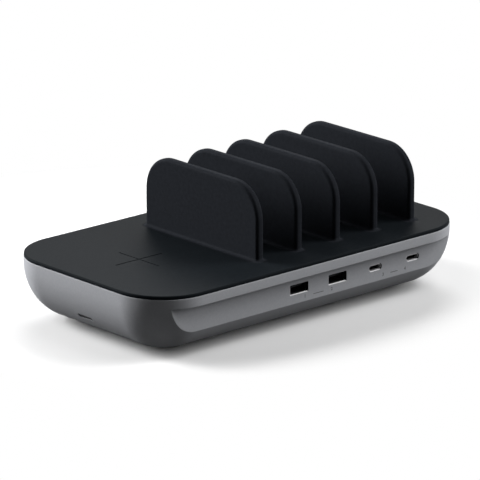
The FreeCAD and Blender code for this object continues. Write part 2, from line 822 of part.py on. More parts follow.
def mains_inlet():
    """Two-pole inlet: flange in the pocket, body through the wall and snap lugs behind it."""
    spot = (inlet_x, port_z)
    flange_ys = (pocket_y, inlet_front)
    flange = prism_y(inlet_flange_width, inlet_flange_height, inlet_flange_radius, flange_ys, spot)
    body = prism_y(inlet_width, inlet_height, inlet_radius, (inlet_back, pocket_y), spot)
    lug_ys = (pocket_y - wall - inlet_lug_length, pocket_y - wall)
    lug = box(about(inlet_x, inlet_width + 2 * inlet_lug), lug_ys, about(port_z, inlet_lug_height))
    cavity_ys = (inlet_front - inlet_cavity_depth, inlet_front + overrun)
    lobes = []
    for side in (-1, 1):
        lobe_x = inlet_x + side * inlet_lobe_spacing / 2
        radius = inlet_lobe_diameter / 2
        lobes.append(prism_y(inlet_lobe_diameter, inlet_lobe_diameter, radius, cavity_ys, (lobe_x, port_z)))
    lobes.append(box(about(inlet_x, inlet_lobe_spacing), cavity_ys, about(port_z, inlet_waist)))
    bores = [pin(x, (inlet_back - overrun, inlet_front)) for x in pin_places]
    return merge(flange, [body, lug]).cut(lobes + bores)


def pin(x, ys):
    return prism_y(pin_diameter, pin_diameter, pin_diameter / 2, ys, (x, port_z))


def charging_coil():
    """Flat spiral of half circles about two centres half a pitch apart."""
    step = coil_pitch / 2
    edges = []
    for half in range(2 * coil_turns):
        radius = coil_inner_radius + step * half
        way = 1 if half % 2 == 0 else -1
        centre = at(coil_x + (0 if way > 0 else step), axis_y, coil_z)
        reach = [at(way * radius, 0, 0), at(0, way * radius, 0), at(-way * radius, 0, 0)]
        edges.append(Part.Arc(*[centre + side for side in reach]).toShape())
    start = at(coil_x + coil_inner_radius, axis_y, coil_z)
    ring = Part.Wire([Part.Circle(start, at(0, 1, 0), coil_wire / 2).toShape()])
    return Part.Wire(edges).makePipeShell([ring], True, False)


def lead_notch(zs, end):
    """Way for the coil's two ends, down through the ferrite and the carrier."""
    notch_xs = (coil_x + coil_inner_radius - lead_slot / 2, end)
    return box(notch_xs, about(axis_y, lead_slot), (zs[0] - overrun, zs[1] + overrun))


def coil_ferrite():
    zs = (ferrite_top - ferrite_thickness, ferrite_top)
    sheet = slab(ferrite_side, ferrite_side, ferrite_radius, zs, (coil_x, axis_y))
    return sheet.cut(lead_notch(zs, coil_x + ferrite_side / 2 + overrun))


def coil_carrier():
    """Tray that presses ferrite and coil to the cover, with an ear at each end."""
    inner = ferrite_side + 2 * carrier_fit
    radius = ferrite_radius + carrier_border
    floor_zs = (carrier_low, carrier_low + carrier_base)
    tray = slab(carrier_side, carrier_side, radius, (carrier_low, ferrite_top), (coil_x, axis_y))
    well_zs = (floor_zs[1], ferrite_top + overrun)
    tray = tray.cut(slab(inner, inner, ferrite_radius + carrier_fit, well_zs, (coil_x, axis_y)))
    ears = slab(2 * ear_reach + ear_width, ear_width, ear_width / 2, floor_zs, (coil_x, axis_y))
    tray = merge(tray, [ears])
    holes = [rod(x, y, (floor_zs[0] - overrun, floor_zs[1] + overrun), ear_screw_diameter + 2 * screw_fit)
             for x, y in ear_places]
    return tray.cut(holes + [lead_notch(floor_zs, coil_end_x + lead_slot / 2)])


def status_light_pipe():
    """Clear bar whose face follows the case wall, a little below its surface."""
    fit = 2 * light_fit
    xs = (left_end, left_end + light_back_inset)
    size = (light_length - fit, light_height - fit, light_height / 2 - light_fit)
    return prism_x(*size, xs, (axis_y, light_z)).common(case_form(light_recess, light_recess, seam_z))


def status_board():
    xs = (status_board_x, status_board_x + board_thickness)
    zs = (light_z - status_board_drop, light_z + status_board_rise)
    return box(xs, about(axis_y, status_board_width), zs)


def status_led():
    xs = (status_board_x - led_depth, status_board_x)
    return box(xs, about(axis_y, led_length), about(light_z, led_height))


def lead(points, diameter):
    """Round wire along straight runs joined by tangent arcs as large as the runs allow."""
    edges = []
    here = points[0]
    radii = []
    for before, corner, after in zip(points, points[1:], points[2:]):
        into = corner - before
        out = after - corner
        reach = bend_share * min(into.Length, out.Length)
        half_turn = into.getAngle(out) / 2
        radius = reach / math.tan(half_turn)
        into.normalize()
        out.normalize()
        inward = out - into
        inward.normalize()
        start = corner - into * reach
        end = corner + out * reach
        middle = corner + inward * (radius / math.cos(half_turn) - radius)
        edges.append(Part.LineSegment(here, start).toShape())
        edges.append(Part.Arc(start, middle, end).toShape())
        radii.append(round(radius, 2))
        here = end
    edges.append(Part.LineSegment(here, points[-1]).toShape())
    path = Part.Wire(edges)
    ring = Part.Circle(points[0], points[1] - points[0], diameter / 2).toShape()
    wire = path.makePipeShell([Part.Wire([ring])], True, False)
    share = wire.Volume / (math.pi * diameter ** 2 / 4 * path.Length)
    print("lead radii", radii, "volume over section times length", round(share, 4))
    return wire


def mains_leads():
    """From the inlet's pin tails over the back of the supply board."""
    back = pin_ys[0]
    end = power_board_ys[1] - mains_lead_border
    routes = [[at(x, back, port_z), at(x, end, port_z), at(x, end, board_top)] for x in pin_places]
    return [lead(route, mains_lead) for route in routes]


def output_leads():
    """From the supply board up to the back of the port board."""
    high = board_top + output_lead_rise
    y = power_board_ys[0] + output_lead_border
    leads = []
    for offset in output_lead_offsets:
        x = power_board_x + offset
        route = [at(x, y, board_top), at(x, y, high), at(x, port_board_back, high)]
        leads.append(lead(route, output_lead))
    return leads


def pad_leads():
    """From the supply board across to the coil's driver board."""
    high = board_top + pad_lead_rise
    start = power_board_left + pad_lead_start
    end = coil_board_xs[1] - pad_lead_end
    leads = []
    for y in (-pad_lead_side, pad_lead_side):
        route = [at(start, y, board_top), at(start, y, high), at(end, y, high), at(end, y, board_top)]
        leads.append(lead(route, pad_lead))
    return leads


def coil_leads():
    """The coil's two ends, straight down to the driver board."""
    top = coil_z - coil_wire / 2
    ends = (coil_x + coil_inner_radius, coil_end_x)
    return [lead([at(x, axis_y, board_top), at(x, axis_y, top)], coil_lead) for x in ends]


def status_leads():
    """From the driver board to the status board."""
    back = status_board_x + board_thickness
    x = coil_board_xs[0] + status_lead_border
    leads = []
    for y in about(axis_y, 2 * status_lead_side):
        route = [at(x, y, board_top), at(x, y, status_lead_z), at(back, y, status_lead_z)]
        leads.append(lead(route, status_lead))
    return leads


def save(name, pieces):
    """Writes one piece, or a group of like pieces, under its name."""
    shape = Part.makeCompound(pieces) if isinstance(pieces, list) else pieces
    solids = shape.Solids
    shape = solids[0] if len(solids) == 1 else Part.makeCompound(solids)
    print(name, len(solids), "solids, valid", shape.isValid(), "volume", round(shape.Volume, 1))
    shape.exportStep("parts/" + name + ".step")


os.makedirs("parts", exist_ok=True)
save("lower_case", lower_case())
save("top_cover", top_cover())
blade = divider()
for number, x in enumerate(divider_places, 1):
    save("divider_%d" % number, blade.translated(at(x, 0, 0)))
for name, place in foot_places.items():
    save(name, rubber_foot(*place))
save("case_screws", case_screws())
usb_a = (usb_a_width, usb_a_height, usb_a_radius)
usb_c = (usb_c_width, usb_c_height, usb_c_height / 2)
for number, x in enumerate(usb_a_places, 1):
    save("usb_a_shell_%d" % number, socket_shell(x, *usb_a))
    save("usb_a_insulator_%d" % number, socket_insulator(x, *usb_a, usb_a_tongue_width, usb_a_tongue_zs))
    save("usb_a_contacts_%d" % number, usb_a_contacts(x))
for number, x in enumerate(usb_c_places, 1):
    save("usb_c_shell_%d" % number, socket_shell(x, *usb_c))
    save("usb_c_insulator_%d" % number, socket_insulator(x, *usb_c, usb_c_tongue_width, usb_c_tongue_zs))
    save("usb_c_contacts_%d" % number, usb_c_contacts(x))
save("port_board", port_board())
save("mains_inlet", mains_inlet())
save("inlet_pins", [pin(x, pin_ys) for x in pin_places])
power_board_plan = (power_board_x, power_board_y, power_board_length, power_board_depth)
save("power_board", board_plate(*power_board_plan, power_posts))
save("power_board_screws", board_screws(power_posts))
save("insulation_sheet", insulation_sheet())
save("transformer_core", transformer_core())
save("transformer_winding", transformer_winding())
save("bulk_capacitors", bulk_capacitors())
save("input_choke", input_choke())
save("safety_capacitor", safety_capacitor())
save("line_fuse", rod(*on_board(fuse_place), (board_top, board_top + fuse_height), fuse_diameter))
save("bridge_rectifier", bridge_rectifier())
save("heat_sink", heat_sink())
save("charging_coil", charging_coil())
save("coil_ferrite", coil_ferrite())
save("coil_carrier", coil_carrier())
save("coil_screws", coil_screws())
save("coil_board", board_plate(coil_board_x, 0, coil_board_length, coil_board_depth, coil_posts))
save("coil_board_screws", board_screws(coil_posts))
save("status_light_pipe", status_light_pipe())
save("status_board", status_board())
save("status_led", status_led())
save("mains_leads", mains_leads())
save("output_leads", output_leads())
save("pad_leads", pad_leads())
save("coil_leads", coil_leads())
save("status_leads", status_leads())
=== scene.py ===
import math
import bmesh
import bpy
from mathutils import Matrix, Vector


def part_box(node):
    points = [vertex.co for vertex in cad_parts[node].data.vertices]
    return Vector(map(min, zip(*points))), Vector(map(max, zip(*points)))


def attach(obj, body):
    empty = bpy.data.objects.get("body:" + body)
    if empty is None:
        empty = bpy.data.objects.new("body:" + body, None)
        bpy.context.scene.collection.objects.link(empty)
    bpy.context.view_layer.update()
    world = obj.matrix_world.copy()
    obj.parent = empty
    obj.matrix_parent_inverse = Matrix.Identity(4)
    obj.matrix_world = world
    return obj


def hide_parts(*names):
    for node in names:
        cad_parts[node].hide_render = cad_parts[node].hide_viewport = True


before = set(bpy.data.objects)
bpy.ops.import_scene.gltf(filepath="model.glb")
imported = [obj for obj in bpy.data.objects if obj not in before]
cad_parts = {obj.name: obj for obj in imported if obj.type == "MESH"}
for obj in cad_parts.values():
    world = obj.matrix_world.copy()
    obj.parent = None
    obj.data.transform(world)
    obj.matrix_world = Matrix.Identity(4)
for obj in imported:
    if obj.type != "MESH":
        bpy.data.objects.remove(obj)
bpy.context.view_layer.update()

# Rubber feet: four discs of black rubber pressed into round recesses of the case floor.
# The rubber is moulded matt, with a fine grain that holds a little dust.

grain_detail = 2
mottle_grains = 8
rough_spread = 0.06


def noise_of(tree, scale, detail):
    """Noise in the object's own metres."""
    coords = tree.nodes.new("ShaderNodeTexCoord")
    noise = tree.nodes.new("ShaderNodeTexNoise")
    noise.inputs["Scale"].default_value = scale
    noise.inputs["Detail"].default_value = detail
    tree.links.new(coords.outputs["Object"], noise.inputs["Vector"])
    return noise.outputs["Fac"]


def ranged(tree, value, low, high, start=0.3, end=0.7):
    """A value between start and end spread from low to high."""
    spread = tree.nodes.new("ShaderNodeMapRange")
    spread.inputs["From Min"].default_value = start
    spread.inputs["From Max"].default_value = end
    spread.inputs["To Min"].default_value = low
    spread.inputs["To Max"].default_value = high
    tree.links.new(value, spread.inputs["Value"])
    return spread.outputs["Result"]


def blended(tree, value, dark, light):
    """Two colours mixed by a value from 0 to 1."""
    mix = tree.nodes.new("ShaderNodeMix")
    mix.data_type = "RGBA"
    mix.inputs["A"].default_value = (*dark, 1)
    mix.inputs["B"].default_value = (*light, 1)
    tree.links.new(value, mix.inputs["Factor"])
    return mix.outputs["Result"]


def finish(name, dark, light, rough, grain, relief, metallic=0.0, specular=0.5):
    """Material whose colour, gloss and relief follow a grain of so many cells a metre."""
    material = bpy.data.materials.new(name)
    material.use_nodes = True
    tree = material.node_tree
    shader = tree.nodes["Principled BSDF"]
    shader.inputs["Metallic"].default_value = metallic
    shader.inputs["Specular IOR Level"].default_value = specular
    mottle = ranged(tree, noise_of(tree, grain / mottle_grains, grain_detail), 0, 1)
    fine = noise_of(tree, grain, grain_detail)
    bump = tree.nodes.new("ShaderNodeBump")
    bump.inputs["Distance"].default_value = relief
    tree.links.new(fine, bump.inputs["Height"])
    tree.links.new(blended(tree, mottle, dark, light), shader.inputs["Base Color"])
    tree.links.new(ranged(tree, fine, rough - rough_spread, rough + rough_spread), shader.inputs["Roughness"])
    tree.links.new(bump.outputs["Normal"], shader.inputs["Normal"])
    return material


def dress(material, *names):
    """Gives CAD nodes their material."""
    for name in names:
        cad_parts[name].material_slots[0].material = material


rubber = finish("foot_rubber", (0.012, 0.012, 0.012), (0.024, 0.024, 0.023), 0.8, 2500, 0.00003, specular=0.2)
dress(rubber, "foot_front_left", "foot_front_right", "foot_rear_left", "foot_rear_right")

# Lower case: an injection-moulded tub of black plastic under a satin metallic grey paint.
# The walls of the four socket cut-outs are coloured near-black as painted shade inside the recesses.
# Handling has rubbed the paint a little paler along its edges, and that paler edge colour is also a painted
# highlight.

paint_dark = (0.302, 0.308, 0.326)
paint_light = (0.32, 0.326, 0.345)
paint = finish("case_paint", paint_dark, paint_light, 0.42, 7000, 0.000003, specular=0.005)
cutout_painted_shade = (0.012, 0.012, 0.013)
rubbed_paint_and_highlight = (0.46, 0.465, 0.48)
edge_softness = 0.0004
edge_samples = 6
turned_edge = 0.88
flat_face = 0.99
wear_and_highlight_patches = 260
wear_and_highlight_detail = 3
least_wear_and_highlight = 0.25
panel_gap = 0.0003
cut_depth = 0.0022
cut_margin = Vector((0.0004, -0.00008, 0.0004))
sockets = ["usb_a_shell_1", "usb_a_shell_2", "usb_c_shell_1", "usb_c_shell_2"]


def larger_of(tree, first, second):
    """The larger of two values."""
    larger = tree.nodes.new("ShaderNodeMath")
    larger.operation = "MAXIMUM"
    tree.links.new(first, larger.inputs[0])
    tree.links.new(second, larger.inputs[1])
    return larger.outputs[0]


def product_of(tree, first, second):
    """The product of two values."""
    product = tree.nodes.new("ShaderNodeMath")
    product.operation = "MULTIPLY"
    tree.links.new(first, product.inputs[0])
    tree.links.new(second, product.inputs[1])
    return product.outputs[0]


def within(tree, place, middle, half):
    """1 inside a box of the object's own space, 0 outside it."""
    shift = tree.nodes.new("ShaderNodeVectorMath")
    shift.operation = "SUBTRACT"
    shift.inputs[1].default_value = middle
    tree.links.new(place, shift.inputs[0])
    away = tree.nodes.new("ShaderNodeVectorMath")
    away.operation = "ABSOLUTE"
    tree.links.new(shift.outputs[0], away.inputs[0])
    past = tree.nodes.new("ShaderNodeVectorMath")
    past.operation = "SUBTRACT"
    past.inputs[1].default_value = half
    tree.links.new(away.outputs[0], past.inputs[0])
    parts = tree.nodes.new("ShaderNodeSeparateXYZ")
    tree.links.new(past.outputs[0], parts.inputs[0])
    furthest = larger_of(tree, larger_of(tree, parts.outputs[0], parts.outputs[1]), parts.outputs[2])
    inside = tree.nodes.new("ShaderNodeMath")
    inside.operation = "LESS_THAN"
    inside.inputs[1].default_value = 0
    tree.links.new(furthest, inside.inputs[0])
    return inside.outputs[0]


def laid_over(tree, under, cover, colour):
    """A colour laid over another where a mask is 1."""
    layer = tree.nodes.new("ShaderNodeMix")
    layer.data_type = "RGBA"
    layer.inputs["B"].default_value = (*colour, 1)
    tree.links.new(cover, layer.inputs["Factor"])
    tree.links.new(under, layer.inputs["A"])
    return layer.outputs["Result"]


def middle_of(name):
    """The middle of a CAD node's box."""
    low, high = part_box(name)
    return (low + high) / 2


tree = paint.node_tree
shader = tree.nodes["Principled BSDF"]
coords = tree.nodes.new("ShaderNodeTexCoord")
surface = tree.nodes.new("ShaderNodeNewGeometry")
softened = tree.nodes.new("ShaderNodeBevel")
softened.samples = edge_samples
softened.inputs["Radius"].default_value = edge_softness
tree.links.new(softened.outputs["Normal"], tree.nodes["Bump"].inputs["Normal"])
# Paler paint along turned edges: rubbed paint, and a painted highlight.
turned_away = tree.nodes.new("ShaderNodeVectorMath")
turned_away.operation = "DOT_PRODUCT"
tree.links.new(softened.outputs["Normal"], turned_away.inputs[0])
tree.links.new(surface.outputs["Normal"], turned_away.inputs[1])
edge = ranged(tree, turned_away.outputs["Value"], 1, 0, turned_edge, flat_face)
patches = ranged(tree, noise_of(tree, wear_and_highlight_patches, wear_and_highlight_detail), least_wear_and_highlight, 1)
coat = shader.inputs["Base Color"].links[0].from_socket
coat = laid_over(tree, coat, product_of(tree, edge, patches), rubbed_paint_and_highlight)
# Near-black walls in each socket cut-out: painted shade.
for name in sockets:
    low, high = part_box(name)
    middle = middle_of(name)
    middle.y = low.y - panel_gap - cut_depth / 2
    half = (high - low) / 2
    half.y = cut_depth / 2
    half += cut_margin
    coat = laid_over(tree, coat, within(tree, coords.outputs["Object"], middle, half), cutout_painted_shade)
tree.links.new(coat, shader.inputs["Base Color"])
dress(paint, "lower_case")

# Socket numbers: printed in dark grey ink below each pair of sockets, at the two ends of a short line.
# They are plain port numbers, and the ink is only a thin film on the paint.

ink = finish("print_ink", (0.1, 0.1, 0.105), (0.13, 0.13, 0.135), 0.6, 3000, 0.000002, specular=0.1)
panel_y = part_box(sockets[0])[0].y - panel_gap - cut_depth
mark_size = 0.0026
mark_drop = 0.00583
rule_rise = 0.0008
rule_height = 0.00042
ink_film = 0.00002
stroke = 0.00006
# The first socket of each pair, how far out the numbers stand, and the length of the line
number_pairs = ((1, 0.0096, 0.0074), (3, 0.0081, 0.0053))


def place_piece(name, mesh, material, slot, *nodes):
    """Puts a mesh into the scene as a piece of the fixed body, in place of CAD nodes if any are named."""
    mesh.materials.clear()
    mesh.materials.append(material)
    piece = bpy.data.objects.new(name, mesh)
    bpy.context.scene.collection.objects.link(piece)
    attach(piece, "root")
    if nodes:
        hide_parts(*nodes)


for first, reach, length in number_pairs:
    middle = (middle_of(sockets[first - 1]) + middle_of(sockets[first])) / 2
    baseline = middle.z - mark_drop
    bm = bmesh.new()
    for number, x in ((first, middle.x - reach), (first + 1, middle.x + reach)):
        letters = bpy.data.curves.new("letters", "FONT")
        letters.body = str(number)
        letters.size = mark_size
        letters.offset = stroke
        letters.align_x = "CENTER"
        letters.extrude = ink_film
        drawn = bpy.data.objects.new("letters", letters)
        bpy.context.scene.collection.objects.link(drawn)
        bpy.context.view_layer.update()
        mesh = bpy.data.meshes.new_from_object(drawn.evaluated_get(bpy.context.evaluated_depsgraph_get()))
        bpy.data.objects.remove(drawn)
        mesh.transform(Matrix.Translation((x, panel_y, baseline)) @ Matrix.Rotation(math.pi / 2, 4, "X"))
        bm.from_mesh(mesh)
        bpy.data.meshes.remove(mesh)
    rule = bmesh.ops.create_cube(bm, size=1)["verts"]
    bmesh.ops.scale(bm, verts=rule, vec=(length, 2 * ink_film, rule_height))
    bmesh.ops.translate(bm, verts=rule, vec=(middle.x, panel_y, baseline + rule_rise))
    mesh = bpy.data.meshes.new("port_numbers_%d" % first)
    bm.to_mesh(mesh)
    bm.free()
    place_piece("port_numbers_%d" % first, mesh, ink, "package_black")

# Insulation sheet and boards: a polyester sheet on the case floor, and glass-epoxy boards above it.
# The boards' green solder mask shows the copper tracks under it as paler lines.

polyester = finish("polyester_sheet", (0.5, 0.45, 0.33), (0.58, 0.53, 0.4), 0.3, 600, 0.000004)
dress(polyester, "insulation_sheet")
mask = finish("solder_mask", (0.012, 0.07, 0.028), (0.017, 0.09, 0.037), 0.35, 900, 0.000008)
track_colour = (0.05, 0.2, 0.08)
tracks_per_metre = 190
track_wander = 0.35
track_edge = 0.04
track_fade = 0.07
tree = mask.node_tree
shader = tree.nodes["Principled BSDF"]
coords = tree.nodes.new("ShaderNodeTexCoord")
tracks = tree.nodes.new("ShaderNodeTexVoronoi")
tracks.feature = "DISTANCE_TO_EDGE"
tracks.inputs["Scale"].default_value = tracks_per_metre
tracks.inputs["Randomness"].default_value = track_wander
tree.links.new(coords.outputs["Object"], tracks.inputs["Vector"])
line = ranged(tree, tracks.outputs["Distance"], 1, 0, track_edge, track_fade)
coat = laid_over(tree, shader.inputs["Base Color"].links[0].from_socket, line, track_colour)
tree.links.new(coat, shader.inputs["Base Color"])
dress(mask, "port_board", "power_board", "coil_board", "status_board")

# Power transformer: a ferrite frame round a moulded bobbin that is wound in enamelled copper.
# The turns lie side by side between the flanges, under a band of yellow tape.

ferrite = finish("ferrite", (0.03, 0.03, 0.032), (0.05, 0.05, 0.053), 0.65, 1500, 0.00002)
enamel = finish("enamelled_copper", (0.42, 0.14, 0.05), (0.55, 0.21, 0.08), 0.3, 1500, 0.000004, metallic=0.9)
phenolic = finish(
    "moulded_phenolic", (0.012, 0.012, 0.012), (0.02, 0.02, 0.02), 0.55, 2500, 0.000008, specular=0.3,
)
tape = finish("yellow_tape", (0.56, 0.38, 0.05), (0.66, 0.46, 0.07), 0.35, 900, 0.000004)
dress(ferrite, "transformer_core", "coil_ferrite")
flange = 0.0012
flange_rounding = 0.0002
turn_wire = 0.001
turn_count = 14
turn_corner = 0.003
turn_inset_share = 0.75
wire_sides = 8
weld = 0.000001
leg_hole = Vector((0.0042, 0, 0.0057))
tape_band = 0.007
tape_thickness = 0.00015
tape_rounding = 0.00005


def hoop(bm, section, middle, half, corner, steps=4):
    """Carries a closed section in X and Y round a rectangle in X and Z with round corners."""
    old = set(bm.verts) - set(section)
    flat = Vector((half.x - corner, 0, half.z - corner))
    bmesh.ops.translate(bm, verts=section, vec=middle + Vector((half.x, 0, -flat.z)))
    edges = list({edge for vert in section for edge in vert.link_edges})
    for run, hub in (((0, 2), (1, 1)), ((-2, 0), (-1, 1)), ((0, -2), (-1, -1)), ((2, 0), (1, -1))):
        made = bmesh.ops.extrude_edge_only(bm, edges=edges)["geom"]
        verts = [item for item in made if isinstance(item, bmesh.types.BMVert)]
        bmesh.ops.translate(bm, verts=verts, vec=(run[0] * flat.x, 0, run[1] * flat.z))
        edges = [item for item in made if isinstance(item, bmesh.types.BMEdge)]
        centre = middle + Vector((hub[0] * flat.x, 0, hub[1] * flat.z))
        made = bmesh.ops.spin(bm, geom=edges, cent=centre, axis=(0, -1, 0), angle=math.pi / 2, steps=steps)
        edges = [item for item in made["geom_last"] if isinstance(item, bmesh.types.BMEdge)]
    turn = [vert for vert in bm.verts if vert not in old]
    bmesh.ops.remove_doubles(bm, verts=turn, dist=weld)
    return [vert for vert in bm.verts if vert not in old]


def wound_turn(bm, middle, half, corner, wire):
    """One closed turn of round wire round a rectangle with round corners."""
    section = bmesh.ops.create_circle(bm, segments=wire_sides, radius=wire / 2)["verts"]
    return hoop(bm, section, middle, half, corner)


def block(bm, low, high, rounding):
    """A box between two corners with all its edges rounded."""
    verts = bmesh.ops.create_cube(bm, size=1)["verts"]
    bmesh.ops.scale(bm, verts=verts, vec=Vector(high) - Vector(low))
    bmesh.ops.translate(bm, verts=verts, vec=(Vector(low) + Vector(high)) / 2)
    edges = list({edge for vert in verts for edge in vert.link_edges})
    bmesh.ops.bevel(bm, geom=edges, offset=rounding, segments=2, profile=0.5, affect="EDGES", material=-1)


def place_form(name, bm, material, slot, *nodes):
    """Turns the faces of a bmesh form outwards and places it as a piece."""
    bmesh.ops.recalc_face_normals(bm, faces=bm.faces)
    mesh = bpy.data.meshes.new(name)
    bm.to_mesh(mesh)
    bm.free()
    place_piece(name, mesh, material, slot, *nodes)


low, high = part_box("transformer_winding")
middle = (low + high) / 2
half = (high - low) / 2
bm = bmesh.new()
round_turns = half - Vector((turn_wire, 0, turn_wire)) * turn_inset_share
first = low.y + flange + turn_wire / 2
pitch = (high.y - low.y - 2 * flange - turn_wire) / (turn_count - 1)
for number in range(turn_count):
    spot = Vector((middle.x, first + pitch * number, middle.z))
    wound_turn(bm, spot, round_turns, turn_corner, turn_wire)
place_form("transformer_turns", bm, enamel, "winding_copper", "transformer_winding")
bm = bmesh.new()
for y in (low.y, high.y - flange):
    for side in (-1, 1):
        post = middle.x + side * (leg_hole.x + half.x) / 2
        reach = (half.x - leg_hole.x) / 2
        block(bm, (post - reach, y, low.z), (post + reach, y + flange, high.z), flange_rounding)
        beam = middle.z + side * (leg_hole.z + half.z) / 2
        reach = (half.z - leg_hole.z) / 2
        left = (middle.x - leg_hole.x, y, beam - reach)
        right = (middle.x + leg_hole.x, y + flange, beam + reach)
        block(bm, left, right, flange_rounding)
place_form("transformer_bobbin", bm, phenolic, "package_black")
bm = bmesh.new()
band = round_turns + Vector((turn_wire, 0, turn_wire)) / 2
front = middle.y - tape_band / 2
back = middle.y + tape_band / 2
for side in (-1, 1):
    x = middle.x + side * band.x
    xs = sorted((x, x + side * tape_thickness))
    flat = band.z - turn_corner
    block(bm, (xs[0], front, middle.z - flat), (xs[1], back, middle.z + flat), tape_rounding)
    z = middle.z + side * band.z
    zs = sorted((z, z + side * tape_thickness))
    flat = band.x - turn_corner
    block(bm, (middle.x - flat, front, zs[0]), (middle.x + flat, back, zs[1]), tape_rounding)
place_form("transformer_tape", bm, tape, "film_yellow")

# Input choke: a ferrite ring with two windings of enamelled wire, one on each half.
# It lies on its own turns and is soldered to the supply board.

low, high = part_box("input_choke")
middle = (low + high) / 2
choke_wire = 0.0008
choke_corner = 0.0009
ring_outer = (high.x - low.x) / 2
ring_inner = ring_outer / 2
ring_half = Vector(((ring_outer - ring_inner) / 2, 0, (high.z - low.z) / 2))
ring_rounding = 0.0004
turns_each = 11
turn_step = math.radians(12)


def turned(bm, outline, foot, steps=40):
    """A form of revolution about an upright line through foot, from (radius, height) points."""
    verts = [bm.verts.new((foot.x + radius, foot.y, foot.z + height)) for radius, height in outline]
    edges = [bm.edges.new(pair) for pair in zip(verts, verts[1:])]
    full = 2 * math.pi
    bmesh.ops.spin(bm, geom=verts + edges, cent=foot, axis=(0, 0, 1), angle=full, steps=steps, use_merge=True)
    bmesh.ops.remove_doubles(bm, verts=bm.verts, dist=weld)


bm = bmesh.new()
inner = ring_inner + choke_wire
outer = ring_outer - choke_wire
rise = high.z - low.z - choke_wire
outline = [(inner + ring_rounding, choke_wire), (outer - ring_rounding, choke_wire)]
outline += [(outer, choke_wire + ring_rounding), (outer, rise - ring_rounding)]
outline += [(outer - ring_rounding, rise), (inner + ring_rounding, rise)]
outline += [(inner, rise - ring_rounding), (inner, choke_wire + ring_rounding)]
turned(bm, outline + outline[:1], Vector((middle.x, middle.y, low.z)))
place_form("choke_ring", bm, ferrite, "ferrite_dark", "input_choke")
bm = bmesh.new()
around = ring_half - Vector((choke_wire, 0, choke_wire)) / 2
for side in (0, math.pi):
    for number in range(turns_each):
        spot = Vector((middle.x + (ring_outer + ring_inner) / 2, middle.y, middle.z))
        turn = wound_turn(bm, spot, around, choke_corner, choke_wire)
        angle = side + turn_step * (number - (turns_each - 1) / 2)
        bmesh.ops.rotate(bm, verts=turn, cent=middle, matrix=Matrix.Rotation(angle, 3, "Z"))
place_form("choke_turns", bm, enamel, "winding_copper")

# Capacitors and fuse: two aluminium cans in shrunk dark sleeves, a dipped film block and a round fuse.
# They are soldered upright on the supply board.

sleeve = finish("capacitor_sleeve", (0.012, 0.016, 0.035), (0.018, 0.023, 0.05), 0.35, 700, 0.000003)
can_top = finish("can_aluminium", (0.5, 0.5, 0.51), (0.6, 0.6, 0.61), 0.36, 1200, 0.000004, metallic=1.0)
film = finish("film_block", (0.5, 0.33, 0.03), (0.58, 0.39, 0.05), 0.5, 1200, 0.00001)
fuse_plastic = finish("fuse_can", (0.055, 0.025, 0.012), (0.075, 0.035, 0.018), 0.4, 1200, 0.000004)
tin = finish("tinned_leg", (0.4, 0.4, 0.41), (0.5, 0.5, 0.51), 0.35, 2000, 0.000002, metallic=1.0)
# Rows from the foot up: how far in from the side, and how high above the foot
sleeve_foot = (
    (0.0008, 0.0001), (0.0002, 0.0004), (0, 0.001),
    (0, 0.0022), (0.0004, 0.0026), (0.0004, 0.003), (0, 0.0034),
)
fuse_foot = ((0.0004, 0), (0.0004, 0.0006), (0, 0.0008))
# Rows up to the head: how far in from the side, and how far below the top
sleeve_head = ((0, 0.0009), (0.0003, 0.0003), (0.0008, 0), (0.0012, 0), (0.0013, 0.0003))
fuse_head = ((0, 0.0008), (0.0002, 0.0003), (0.0006, 0))
can_disc = ((0.0015, 0.0003), (0.0015, 0.00015), (0.0017, 0.0001))
# The dimple in the can's top: its radius, and how far below the top
can_dimple = ((0.0003, 0.0001), (0.0002, 0.0002), (0, 0.0002))
film_stand = Vector((0, 0, 0.0008))
film_border = Vector((0.0006, 0.0006, 0))
film_rounding = 0.0009
film_foot_rounding = 0.0002
film_foot_share = 1.5


def can_outline(radius, height, foot, head):
    """The outline of a round can, from its axis at the foot to its axis at the head."""
    sides = [(radius - inset, rise) for inset, rise in foot]
    sides += [(radius - inset, height - drop) for inset, drop in head]
    return [(0, sides[0][1]), *sides, (0, sides[-1][1])]


low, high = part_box("bulk_capacitors")
radius = (high.x - low.x) / 2
height = high.z - low.z
feet = [Vector((low.x + radius, y, low.z)) for y in (low.y + radius, high.y - radius)]
bm = bmesh.new()
for foot in feet:
    turned(bm, can_outline(radius, height, sleeve_foot, sleeve_head), foot)
place_form("capacitor_sleeves", bm, sleeve, "capacitor_sleeve", "bulk_capacitors")
bm = bmesh.new()
for foot in feet:
    outline = [(0, height - can_disc[0][1])]
    outline += [(radius - inset, height - drop) for inset, drop in can_disc]
    outline += [(reach, height - drop) for reach, drop in can_dimple]
    turned(bm, outline, foot)
place_form("capacitor_tops", bm, can_top, "sink_aluminium")
low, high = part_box("safety_capacitor")
bm = bmesh.new()
block(bm, low + film_stand, high, film_rounding)
foot_top = Vector((high.x, high.y, low.z)) - film_border + film_stand * film_foot_share
block(bm, low + film_border, foot_top, film_foot_rounding)
place_form("film_capacitor", bm, film, "film_yellow", "safety_capacitor")
low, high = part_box("line_fuse")
radius = (high.x - low.x) / 2
height = high.z - low.z
bm = bmesh.new()
turned(bm, can_outline(radius, height, fuse_foot, fuse_head), Vector((low.x + radius, low.y + radius, low.z)))
place_form("fuse_body", bm, fuse_plastic, "fuse_brown", "line_fuse")

# Rectifier, power switch and chips: silicon moulded into black epoxy, on tinned copper legs.
# The rectifier has one corner cut to mark its plus leg; the switch is clipped to the heat sink.

